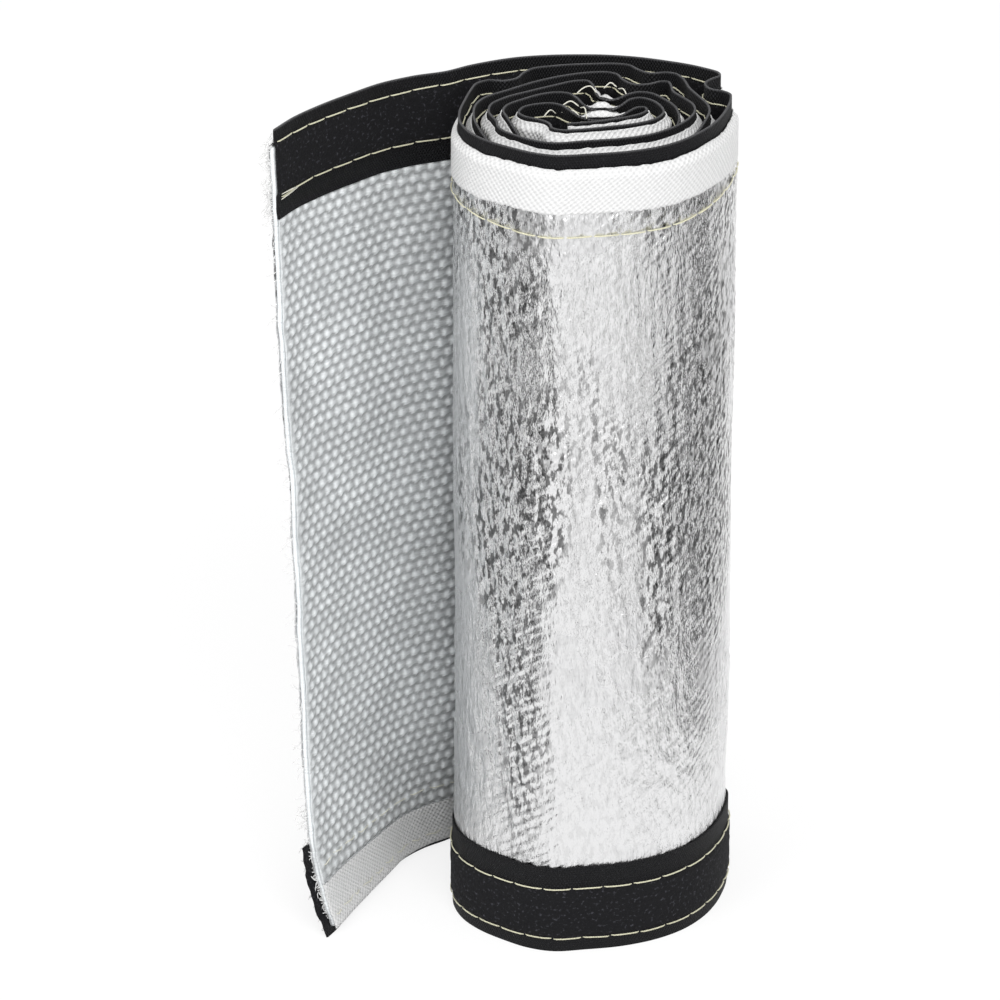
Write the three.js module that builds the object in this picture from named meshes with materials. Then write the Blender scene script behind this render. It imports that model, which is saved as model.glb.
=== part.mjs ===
import * as THREE from "three";

// Aluminized heat sleeve: one flat wrap-round strip, rolled up and standing on its end.
// Units are millimetres, +Z is up, and the floor is z = 0.
// The strip is bent round upright, so its width is the height of the roll.

// Heights
const CLOTH_WIDTH = 179;
const TAPE_WIDTH = 20;
const TAPE_OVERHANG = 2;
const RIBBON_WIDTH = 9.5;
const TOP_RIBBON_DROP = 2.5;
const BOTTOM_RIBBON_RISE = 1.5;

// Thicknesses of the layers, and the air between two layers that lie on each other
const CLOTH_THICKNESS = 0.8;
const FOIL_THICKNESS = 0.12;
const TAPE_GROUND_THICKNESS = 0.45;
const TAPE_PILE_HEIGHT = 0.55;
const RIBBON_THICKNESS = 0.25;
const LAYER_GAP = 0.1;
const TURN_PLAY = 0.46;

// Sewing: two rows through each tape, measured from the tape's free edge
const THREAD_DIAMETER = 0.4;
const ROW_INSET = 3;
const ROW_SPACING = 12;
const ROW_CLEARANCE = 0.2;
const THREAD_SIDES = 3;

// How far the bottom corner of the free end swings towards the front of the roll
const FLAP_SWING_RIGHT = 11.3;
const FLAP_SWING_FRONT = 9.2;

// Worked out from the sizes above
const TAPE_THICKNESS = TAPE_GROUND_THICKNESS + TAPE_PILE_HEIGHT;
const STRIP_WIDTH = CLOTH_WIDTH + 2 * TAPE_OVERHANG;
const TURN_PITCH = TAPE_THICKNESS + CLOTH_THICKNESS + FOIL_THICKNESS + RIBBON_THICKNESS
  + 3 * LAYER_GAP + TURN_PLAY;

// The route of the strip's middle, seen from above with the roll's axis at 0, 0.
// The back is +Y, and the strip runs clockwise from the free end into the core.
// The turns lie one pitch apart, and each pushed-in pleat has its own few points.
const FREE_FLAP = [
  [-67, -17], [-63, -9.5], [-57.5, -2.2], [-51, 4.8], [-45, 10.8], [-38.5, 15], [-32, 18.2],
];
const FIRST_TURN = [
  [-26.6, 22.3], [-20, 25.2], [-12.5, 27.2], [-5, 28.3], [3, 28.2], [11, 26.6], [18, 23.4],
  [23.4, 19.7], [26.6, 16.8], [26.9, 14.2], [24.9, 12.1], [23.7, 9.8], [24.6, 7.2], [27, 6],
  [28.7, 3.8], [28.7, -0.6], [27.7, -5.8], [26, -11.4], [23.2, -17.2], [18.9, -22.7],
  [13, -27.1], [5.8, -30.1], [-2, -31.6], [-8.4, -32.4], [-13.6, -30.8], [-18.6, -27.4],
  [-23.4, -23.2], [-27, -18.2], [-29, -12],
];
const SECOND_TURN = [
  [-29.1, -5.6], [-28.1, 0.8], [-26.9, 6.8], [-25.4, 11], [-22.4, 12.7], [-19.4, 12],
  [-17.1, 13.2], [-15.8, 16.4], [-13.2, 20], [-8, 21.9], [-1.4, 23.1], [4.6, 23.5],
  [7.8, 22.4], [9.6, 19.7], [11.8, 17.5], [15.2, 17.9], [17.6, 16.8], [19.2, 13.6],
  [20.4, 8], [22.4, 2.6], [23.9, -1.8], [24.1, -7], [22.4, -12.6], [18.9, -18.1],
  [13.4, -22.8], [6.6, -26], [-0.6, -27.9], [-8, -29.2], [-13.4, -27.4], [-18.6, -23.7],
  [-23, -18.8], [-25.6, -13],
];
const THIRD_TURN = [
  [-26.2, -5.2], [-25.4, -0.6], [-23.2, 3.4], [-18.6, 7.2], [-12.6, 11.8], [-7, 15.2],
  [-1.2, 17.4], [2.8, 17.6], [5.2, 16.2], [6.4, 13.2], [8.2, 10.8], [10.8, 10.8],
  [13.6, 12.5], [15.8, 12], [16.6, 9], [16.9, 5.6], [18.9, 1.9], [20.8, -2.2],
  [21.1, -7], [19.4, -12], [15.9, -16.7], [10.7, -20.7], [4.4, -23.3], [-2.4, -24.8],
  [-8.8, -25.6], [-13.8, -23.5], [-17.6, -20.4], [-20.3, -17.4], [-21.3, -14.6],
  [-21.4, -12.2], [-22.4, -9.4],
];
const FOURTH_TURN = [
  [-23.1, -6.4], [-22.5, -2], [-19.6, 1.9], [-14.6, 6], [-9.4, 9.8], [-4.4, 12.8],
  [-1.4, 12.9], [0.1, 10.6], [0.5, 7], [1.4, 3.8], [3.7, 2.7], [6.1, 4.2], [8.8, 5.6],
  [11.8, 5], [14.5, 2], [17, -2.4], [17.9, -6.8], [16.3, -11.2], [12.9, -15.2],
  [8.2, -18.1], [2, -20.2], [-4.6, -21.7], [-9.4, -21.8], [-13.4, -19.4],
  [-16.6, -14.8], [-18.8, -10.6],
];
const FIFTH_TURN = [
  [-20.1, -6.2], [-19.1, -2.2], [-15.8, 1.3], [-11.6, 4.6], [-8, 5.8], [-5.2, 5.2], [-3.4, 2.6],
  [-2, -0.4], [0, -2.9], [2.4, -3.3], [4.6, -1.4], [6.6, 1], [9.2, 2], [12, 0.4],
  [14.1, -3.2], [14.6, -7.2], [12.5, -11.2], [8.2, -14.3], [2.4, -16.5], [-3.4, -18.1],
  [-7.4, -18.5], [-9.9, -17], [-10.5, -14.2], [-12.6, -11.8], [-15.2, -10],
];
const SIXTH_TURN = [
  [-16.9, -6.6], [-15.6, -2.6], [-12.8, -0.9], [-9.6, -0.4], [-7.1, -1.6], [-5.2, -4.4],
  [-3.2, -7.4], [-0.6, -9], [2.4, -8.7], [4.8, -6.8], [6.8, -4.2], [8.7, -2.7], [10.4, -2.8],
  [11.2, -4.5], [10.6, -6.6], [8.2, -8.8], [3.6, -11.3], [-1.4, -13.4], [-6, -14.4],
];
const ROUTE = [
  ...FREE_FLAP, ...FIRST_TURN, ...SECOND_TURN, ...THIRD_TURN,
  ...FOURTH_TURN, ...FIFTH_TURN, ...SIXTH_TURN,
];

const GLASS_CLOTH = new THREE.MeshStandardMaterial({ color: 0xdfe3e4, roughness: 0.8, metalness: 0 });
const ALUMINIUM_FOIL = new THREE.MeshStandardMaterial({ color: 0xd4d6d8, roughness: 0.3, metalness: 1 });
const BLACK_TAPE = new THREE.MeshStandardMaterial({ color: 0x17171a, roughness: 0.9, metalness: 0 });
const WHITE_RIBBON = new THREE.MeshStandardMaterial({ color: 0xf2f2f0, roughness: 0.6, metalness: 0 });
const SEWING_THREAD = new THREE.MeshStandardMaterial({ color: 0xd9d3a4, roughness: 0.5, metalness: 0 });

// The spacing of the turns as the route lists them, taken on the roll's left side
function listedPitch() {
  const [x1, y1] = SECOND_TURN[0];
  const [x2, y2] = THIRD_TURN[0];
  return Math.hypot(x2 - x1, y2 - y1);
}

// A smooth line through the route, opened out or closed up to the strip's own pitch
function routeCurve() {
  const spread = TURN_PITCH / listedPitch();
  const points = ROUTE.map(([x, y]) => new THREE.Vector3(x * spread, y * spread, 0));
  return new THREE.CatmullRomCurve3(points, false, "centripetal");
}

const CURVE = routeCurve();
const LAST_STATION = ROUTE.length - 1;
const FLAP_STATIONS = FREE_FLAP.length;

// Where the strip's middle is at a station, which may be a fraction, and at a height
function middleAt(station, height) {
  const along = THREE.MathUtils.clamp(station / LAST_STATION, 0, 1);
  const swing = (1 - THREE.MathUtils.smoothstep(station, 0, FLAP_STATIONS)) * (1 - height / STRIP_WIDTH);
  const point = CURVE.getPoint(along);
  point.x += FLAP_SWING_RIGHT * swing;
  point.y -= FLAP_SWING_FRONT * swing;
  point.z = height;
  return point;
}

// The outward direction of the strip there: left of the way that it runs
function outwardAt(station, height) {
  const step = 0.02;
  const from = Math.max(station - step, 0);
  const to = Math.min(station + step, LAST_STATION);
  const way = middleAt(to, height).sub(middleAt(from, height));
  return new THREE.Vector3(-way.y, way.x, 0).normalize();
}

// Winds a flat section round the route.
// The section is a closed outline of [distance out of the strip's middle, height] corners.
function wind(section) {
  const corners = [];
  for (let station = 0; station <= LAST_STATION; station += 1) {
    for (const [out, height] of section) {
      const place = middleAt(station, height);
      corners.push(place.addScaledVector(outwardAt(station, height), out));
    }
  }
  const geometry = new THREE.BufferGeometry().setFromPoints(corners);
  geometry.setIndex([...sideFaces(section), ...endFaces(section)]);
  geometry.computeVertexNormals();
  return geometry;
}

// Two faces between each pair of stations and section corners.
// Both faces of a layer are split the same way, from low to high, so layers never cross.
function sideFaces(section) {
  const count = section.length;
  const faces = [];
  for (let station = 0; station < LAST_STATION; station += 1) {
    for (let i = 0; i < count; i += 1) {
      const j = (i + 1) % count;
      const a = station * count + i;
      const b = station * count + j;
      const c = b + count;
      const d = a + count;
      const rising = section[j][1] >= section[i][1];
      faces.push(...(rising ? [a, b, c, a, c, d] : [a, b, d, b, c, d]));
    }
  }
  return faces;
}

// The cut ends of the strip
function endFaces(section) {
  const outline = section.map(([out, height]) => new THREE.Vector2(out, height));
  const last = LAST_STATION * section.length;
  return THREE.ShapeUtils.triangulateShape(outline, [])
    .flatMap(([a, b, c]) => [c, b, a, last + a, last + b, last + c]);
}

function layer(name, material, section) {
  const mesh = new THREE.Mesh(wind(section), material);
  mesh.name = name;
  return mesh;
}

// A plain band between two distances out of the middle and two heights
function bandSection(inner, outer, bottom, top) {
  return [[inner, bottom], [outer, bottom], [outer, top], [inner, top]];
}

// The strip's full-width layers also have corners along the inner edges of the two tapes
function fullWidthSection(inner, outer) {
  const heights = [CLOTH_BOTTOM, TAPE_WIDTH, LOOP_TAPE_BOTTOM, CLOTH_TOP];
  const rising = heights.map((height) => [outer, height]);
  const falling = heights.toReversed().map((height) => [inner, height]);
  return [...rising, ...falling];
}

// A tape: a thin ground with a raised pile between its two sewn rows.
// `face` is where the ground starts and `side` is 1 for a tape on the outer face, -1 for the inner.
function tapeSection(face, side, bottom, firstRow, secondRow) {
  const rowHalf = THREAD_DIAMETER / 2 + ROW_CLEARANCE;
  const pileBottom = Math.min(firstRow, secondRow) + rowHalf;
  const pileTop = Math.max(firstRow, secondRow) - rowHalf;
  const top = bottom + TAPE_WIDTH;
  const ground = face + side * TAPE_GROUND_THICKNESS;
  const pile = face + side * TAPE_THICKNESS;
  const section = [
    [face, bottom], [ground, bottom], [ground, pileBottom], [pile, pileBottom],
    [pile, pileTop], [ground, pileTop], [ground, top], [face, top],
  ];
  return side > 0 ? section : section.reverse();
}

// A row of thread, lying on a face of the strip at one height
function rowSection(face, side, height) {
  const radius = THREAD_DIAMETER / 2;
  const centre = face + side * (LAYER_GAP + radius);
  const corners = [];
  for (let i = 0; i < THREAD_SIDES; i += 1) {
    const turn = (2 * Math.PI * i) / THREAD_SIDES;
    corners.push([centre + radius * Math.cos(turn), height + radius * Math.sin(turn)]);
  }
  return corners;
}

// Distances out of the strip's middle
const CLOTH_INNER = -CLOTH_THICKNESS / 2;
const CLOTH_OUTER = CLOTH_THICKNESS / 2;
const FOIL_INNER = CLOTH_OUTER + LAYER_GAP;
const FOIL_OUTER = FOIL_INNER + FOIL_THICKNESS;
const INNER_TRIM = CLOTH_INNER - LAYER_GAP;
const OUTER_TRIM = FOIL_OUTER + LAYER_GAP;

// Heights of the edges and of the sewn rows
const CLOTH_BOTTOM = TAPE_OVERHANG;
const CLOTH_TOP = CLOTH_BOTTOM + CLOTH_WIDTH;
const LOOP_TAPE_BOTTOM = STRIP_WIDTH - TAPE_WIDTH;
const TOP_RIBBON_TOP = STRIP_WIDTH - TOP_RIBBON_DROP;
const TOP_UPPER_ROW = STRIP_WIDTH - ROW_INSET;
const TOP_LOWER_ROW = TOP_UPPER_ROW - ROW_SPACING;
const BOTTOM_LOWER_ROW = ROW_INSET;
const BOTTOM_UPPER_ROW = BOTTOM_LOWER_ROW + ROW_SPACING;

function glassCloth() {
  return layer("glass_cloth", GLASS_CLOTH,
    fullWidthSection(CLOTH_INNER, CLOTH_OUTER));
}

function foilFace() {
  return layer("foil_face", ALUMINIUM_FOIL,
    fullWidthSection(FOIL_INNER, FOIL_OUTER));
}

function loopTape() {
  return layer("loop_tape", BLACK_TAPE,
    tapeSection(INNER_TRIM, -1, LOOP_TAPE_BOTTOM, TOP_UPPER_ROW, TOP_LOWER_ROW));
}

function hookTape() {
  return layer("hook_tape", BLACK_TAPE,
    tapeSection(OUTER_TRIM, 1, 0, BOTTOM_LOWER_ROW, BOTTOM_UPPER_ROW));
}

function topRibbon() {
  return layer("top_ribbon", WHITE_RIBBON,
    bandSection(OUTER_TRIM, OUTER_TRIM + RIBBON_THICKNESS, TOP_RIBBON_TOP - RIBBON_WIDTH, TOP_RIBBON_TOP));
}

function bottomRibbon() {
  const top = BOTTOM_RIBBON_RISE + RIBBON_WIDTH;
  return layer("bottom_ribbon", WHITE_RIBBON,
    bandSection(INNER_TRIM - RIBBON_THICKNESS, INNER_TRIM, BOTTOM_RIBBON_RISE, top));
}

// The rows show on each tape's face, and the loop tape's lower row also on the foil
function sewnRows() {
  const onLoopTape = INNER_TRIM - TAPE_GROUND_THICKNESS;
  const onHookTape = OUTER_TRIM + TAPE_GROUND_THICKNESS;
  return [
    layer("thread_loop_upper", SEWING_THREAD, rowSection(onLoopTape, -1, TOP_UPPER_ROW)),
    layer("thread_loop_lower", SEWING_THREAD, rowSection(onLoopTape, -1, TOP_LOWER_ROW)),
    layer("thread_foil", SEWING_THREAD, rowSection(FOIL_OUTER, 1, TOP_LOWER_ROW)),
    layer("thread_hook_upper", SEWING_THREAD, rowSection(onHookTape, 1, BOTTOM_UPPER_ROW)),
    layer("thread_hook_lower", SEWING_THREAD, rowSection(onHookTape, 1, BOTTOM_LOWER_ROW)),
  ];
}

const sleeve = new THREE.Group();
sleeve.add(glassCloth(), foilFace(), loopTape(), hookTape(), topRibbon(), bottomRibbon(), ...sewnRows());

// The origin is the middle of the footprint, on the floor
const footprint = new THREE.Box3().setFromObject(sleeve);
const middle = footprint.getCenter(new THREE.Vector3());
sleeve.position.set(-middle.x, -middle.y, 0);

export default sleeve;
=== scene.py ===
"""Aluminized heat sleeve: one flat wrap-round strip, rolled up and standing on its end."""
import math

import bmesh
import bpy
import numpy as np
from mathutils import Matrix, Vector


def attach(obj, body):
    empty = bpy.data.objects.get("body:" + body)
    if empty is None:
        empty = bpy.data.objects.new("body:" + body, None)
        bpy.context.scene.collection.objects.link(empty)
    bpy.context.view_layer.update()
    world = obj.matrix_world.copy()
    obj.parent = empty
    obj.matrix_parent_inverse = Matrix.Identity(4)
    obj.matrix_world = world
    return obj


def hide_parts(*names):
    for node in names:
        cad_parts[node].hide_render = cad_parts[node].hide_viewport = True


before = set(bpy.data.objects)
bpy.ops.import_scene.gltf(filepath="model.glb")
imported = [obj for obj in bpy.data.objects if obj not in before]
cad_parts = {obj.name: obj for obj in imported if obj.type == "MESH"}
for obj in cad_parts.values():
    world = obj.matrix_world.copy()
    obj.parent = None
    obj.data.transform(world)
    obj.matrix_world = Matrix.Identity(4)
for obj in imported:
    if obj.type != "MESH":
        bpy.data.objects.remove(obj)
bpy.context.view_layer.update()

bl_info = {
    "name": "Aluminized heat sleeve",
    "version": (1, 0, 0),
    "blender": (4, 5, 0),
    "location": "View3D > Sidebar > Heat Sleeve",
    "description": "Builds the rolled heat sleeve, its sewing and its studio",
    "category": "Object",
}

MM = 0.001

# The route of the strip's middle in millimetres, seen from above, from the free end into the core
FREE_FLAP = [
    (-67, -17), (-63, -9.5), (-57.5, -2.2), (-51, 4.8), (-45, 10.8), (-38.5, 15), (-32, 18.2),
]
FIRST_TURN = [
    (-26.6, 22.3), (-20, 25.2), (-12.5, 27.2), (-5, 28.3), (3, 28.2), (11, 26.6), (18, 23.4),
    (23.4, 19.7), (26.6, 16.8), (26.9, 14.2), (24.9, 12.1), (23.7, 9.8), (24.6, 7.2), (27, 6),
    (28.7, 3.8), (28.7, -0.6), (27.7, -5.8), (26, -11.4), (23.2, -17.2), (18.9, -22.7),
    (13, -27.1), (5.8, -30.1), (-2, -31.6), (-8.4, -32.4), (-13.6, -30.8), (-18.6, -27.4),
    (-23.4, -23.2), (-27, -18.2), (-29, -12),
]
SECOND_TURN = [
    (-29.1, -5.6), (-28.1, 0.8), (-26.9, 6.8), (-25.4, 11), (-22.4, 12.7), (-19.4, 12),
    (-17.1, 13.2), (-15.8, 16.4), (-13.2, 20), (-8, 21.9), (-1.4, 23.1), (4.6, 23.5),
    (7.8, 22.4), (9.6, 19.7), (11.8, 17.5), (15.2, 17.9), (17.6, 16.8), (19.2, 13.6),
    (20.4, 8), (22.4, 2.6), (23.9, -1.8), (24.1, -7), (22.4, -12.6), (18.9, -18.1),
    (13.4, -22.8), (6.6, -26), (-0.6, -27.9), (-8, -29.2), (-13.4, -27.4), (-18.6, -23.7),
    (-23, -18.8), (-25.6, -13),
]
THIRD_TURN = [
    (-26.2, -5.2), (-25.4, -0.6), (-23.2, 3.4), (-18.6, 7.2), (-12.6, 11.8), (-7, 15.2),
    (-1.2, 17.4), (2.8, 17.6), (5.2, 16.2), (6.4, 13.2), (8.2, 10.8), (10.8, 10.8),
    (13.6, 12.5), (15.8, 12), (16.6, 9), (16.9, 5.6), (18.9, 1.9), (20.8, -2.2),
    (21.1, -7), (19.4, -12), (15.9, -16.7), (10.7, -20.7), (4.4, -23.3), (-2.4, -24.8),
    (-8.8, -25.6), (-13.8, -23.5), (-17.6, -20.4), (-20.3, -17.4), (-21.3, -14.6),
    (-21.4, -12.2), (-22.4, -9.4),
]
FOURTH_TURN = [
    (-23.1, -6.4), (-22.5, -2), (-19.6, 1.9), (-14.6, 6), (-9.4, 9.8), (-4.4, 12.8),
    (-1.4, 12.9), (0.1, 10.6), (0.5, 7), (1.4, 3.8), (3.7, 2.7), (6.1, 4.2), (8.8, 5.6),
    (11.8, 5), (14.5, 2), (17, -2.4), (17.9, -6.8), (16.3, -11.2), (12.9, -15.2),
    (8.2, -18.1), (2, -20.2), (-4.6, -21.7), (-9.4, -21.8), (-13.4, -19.4),
    (-16.6, -14.8), (-18.8, -10.6),
]
FIFTH_TURN = [
    (-20.1, -6.2), (-19.1, -2.2), (-15.8, 1.3), (-11.6, 4.6), (-8, 5.8), (-5.2, 5.2), (-3.4, 2.6),
    (-2, -0.4), (0, -2.9), (2.4, -3.3), (4.6, -1.4), (6.6, 1), (9.2, 2), (12, 0.4),
    (14.1, -3.2), (14.6, -7.2), (12.5, -11.2), (8.2, -14.3), (2.4, -16.5), (-3.4, -18.1),
    (-7.4, -18.5), (-9.9, -17), (-10.5, -14.2), (-12.6, -11.8), (-15.2, -10),
]
SIXTH_TURN = [
    (-16.9, -6.6), (-15.6, -2.6), (-12.8, -0.9), (-9.6, -0.4), (-7.1, -1.6), (-5.2, -4.4),
    (-3.2, -7.4), (-0.6, -9), (2.4, -8.7), (4.8, -6.8), (6.8, -4.2), (8.7, -2.7), (10.4, -2.8),
    (11.2, -4.5), (10.6, -6.6), (8.2, -8.8), (3.6, -11.3), (-1.4, -13.4), (-6, -14.4),
]
ROUTE = FREE_FLAP + FIRST_TURN + SECOND_TURN + THIRD_TURN + FOURTH_TURN + FIFTH_TURN + SIXTH_TURN

# The roll's axis in the frame of the part, in millimetres
ROLL_AXIS = (18.662, 2.051)

# How the free end hangs: the share of its full swing, by the share of the way down
SWING_SHARES = [0, 0.17, 0.34, 0.5, 0.62, 0.81, 0.907, 0.967, 1]
SWING_AMOUNTS = [0, 0.04, 0.17, 0.32, 0.39, 0.45, 0.6, 0.82, 1]

# Hems that flop towards the core: place on the route, reach along the strip, and lean
LEANING_HEMS = [((1.0, 5.2), 7.5, 1.0), ((1.0, -3.2), 7.5, 1.0), ((1.0, -9.0), 9.5, 1.0)]

# Hems that stand lower than their neighbours at the front of the roll
LOW_HEMS = [((-1, -27.9), 34, 2.9), ((1, -20.4), 28, 3.1)]

# Faces of the layers, in millimetres outward from the middle of the cloth
CLOTH_HALF = 0.4
FOIL_OUTER = 0.62
OUTER_TRIM = 0.72
INNER_TRIM = -0.5

# Heights on the strip in millimetres
LOWER_ROWS = (3.0, 15.0)
UPPER_ROWS = (168.0, 180.0)
HOOK_PILE = (3.4, 14.6)
LOOP_PILE = (168.4, 179.6)
FLAP_WEAVE = (11.2, 162.9)
SQUEEZED_FROM = 160
SQUEEZED_SPAN = 21
BENDS_FROM = 177.4

# Where the pile's colour starts, is full, lessens and ends, in metres
HOOK_PILE_FADE = (0.0029, 0.0035, 0.0145, 0.0151)
LOOP_PILE_FADE = (0.1680, 0.1686, 0.1795, 0.1801)

# How far the top ribbon lies below the tape's edge, by millimetres along the strip to its end
RIBBON_PLACES = [0, 60, 150, 230, 420, 560, 680]
RIBBON_DROPS = [2.3, 2.5, 3.2, 2.8, 1.8, 1.2, 0.8, 0.6]

# Places on the outer turn where the foil is worked most
WORKED_PLACES = [(-15, -30), (24, -15)]

# The studio, in metres and degrees: a card's name, bearing, distance and width
CARDS = [
    ("card_left", -46, 0.115, 0.060),
    ("card_middle", 40, 0.120, 0.022),
    ("card_right", 88, 0.105, 0.066),
]
CARD_MIDDLE_HEIGHT = 0.13
CARD_HEIGHT = 0.26
FLOOR_HALF_WIDTH = 3.0
CAMERA_PLACE = (-0.001358, -1.21905, 0.6429)
CAMERA_TARGET = (-0.001358, 0.002216, 0.0915)
CAMERA_LENS = 224.95
CAMERA_SENSOR = 36


def length_setting(name, description, default):
    return bpy.props.FloatProperty(
        name=name, description=description, default=default, unit="LENGTH")


def colour_setting(name, description, default):
    return bpy.props.FloatVectorProperty(
        name=name, description=description, default=default, subtype="COLOR", size=3, min=0, max=1)


class SleeveSettings(bpy.types.PropertyGroup):
    """Sizes and colours of the heat sleeve"""

    strip_width: length_setting("Strip width", "Height of the roll, tapes included", 0.183)
    tape_width: length_setting("Tape width", "Width of each closing tape", 0.020)
    tape_overhang: length_setting(
        "Tape overhang", "How far a tape stands past the cloth's edge", 0.002)
    ribbon_width: length_setting("Ribbon width", "Width of the white edging ribbons", 0.0095)
    cloth_thickness: length_setting(
        "Cloth thickness", "Thickness of the woven glass cloth", 0.0008)
    foil_thickness: length_setting("Foil thickness", "Thickness of the aluminium face", 0.00012)
    tape_ground: length_setting("Tape ground", "Thickness of a tape without its pile", 0.00045)
    tape_pile: length_setting("Tape pile", "Height of the pile on a tape", 0.00055)
    ribbon_thickness: length_setting(
        "Ribbon thickness", "Thickness of the edging ribbons", 0.00025)
    thread_thickness: length_setting("Thread thickness", "Diameter of the sewing thread", 0.0004)
    stitch_length: length_setting("Stitch length", "Length of one stitch and its gap", 0.0062)
    yarn_pitch: length_setting("Yarn pitch", "Spacing of the glass yarns along the strip", 0.0030)
    pick_pitch: length_setting("Pick pitch", "Spacing of the glass yarns across the strip", 0.0023)
    cloth_colour: colour_setting("Cloth", "Colour of the glass yarns", (0.92, 0.95, 0.965))
    foil_colour: colour_setting("Foil", "Colour of the aluminium face", (0.86, 0.86, 0.865))
    tape_colour: colour_setting("Tape", "Colour of the closing tapes", (0.0075, 0.0075, 0.009))
    ribbon_colour: colour_setting("Ribbon", "Colour of the edging ribbons", (0.80, 0.80, 0.80))
    thread_colour: colour_setting("Thread", "Colour of the sewing thread", (0.70, 0.68, 0.50))
    floor_colour: colour_setting("Floor", "Colour of the studio floor", (0.92, 0.92, 0.92))


def settings():
    return bpy.context.scene.heat_sleeve


# Noise and easing

def ease(value, low, high):
    share = np.clip((value - low) / (high - low), 0, 1)
    return share * share * (3 - 2 * share)


def soft_noise(across, up, seed):
    """Smooth random values from -1 to 1 on a lattice of unit squares."""
    table = np.random.default_rng(seed).uniform(-1, 1, (128, 128))
    column = np.floor(across).astype(int)
    row = np.floor(up).astype(int)
    x = ease(across - column, 0, 1)
    y = ease(up - row, 0, 1)
    left = column % 128
    right = (column + 1) % 128
    low = row % 128
    high = (row + 1) % 128
    bottom = table[left, low] * (1 - x) + table[right, low] * x
    top = table[left, high] * (1 - x) + table[right, high] * x
    return bottom * (1 - y) + top * y


# The strip

def curve_points(points, steps):
    """A smooth line through points, with a number of steps between each pair."""
    points = np.array(points, float)
    first = 2 * points[0] - points[1]
    last = 2 * points[-1] - points[-2]
    padded = np.vstack([first, points, last])
    line = []
    for i in range(1, len(padded) - 2):
        p0, p1, p2, p3 = padded[i - 1:i + 3]
        d0 = math.sqrt(np.linalg.norm(p1 - p0))
        d1 = math.sqrt(np.linalg.norm(p2 - p1))
        d2 = math.sqrt(np.linalg.norm(p3 - p2))
        t1 = ((p1 - p0) / d0 - (p2 - p0) / (d0 + d1) + (p2 - p1) / d1) * d1
        t2 = ((p2 - p1) / d1 - (p3 - p1) / (d1 + d2) + (p3 - p2) / d2) * d1
        for t in np.arange(steps) / steps:
            cubic = (2 * p1 - 2 * p2 + t1 + t2) * t ** 3
            square = (-3 * p1 + 3 * p2 - 2 * t1 - t2) * t ** 2
            line.append(cubic + square + t1 * t + p1)
    line.append(points[-1])
    return np.array(line)


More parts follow.
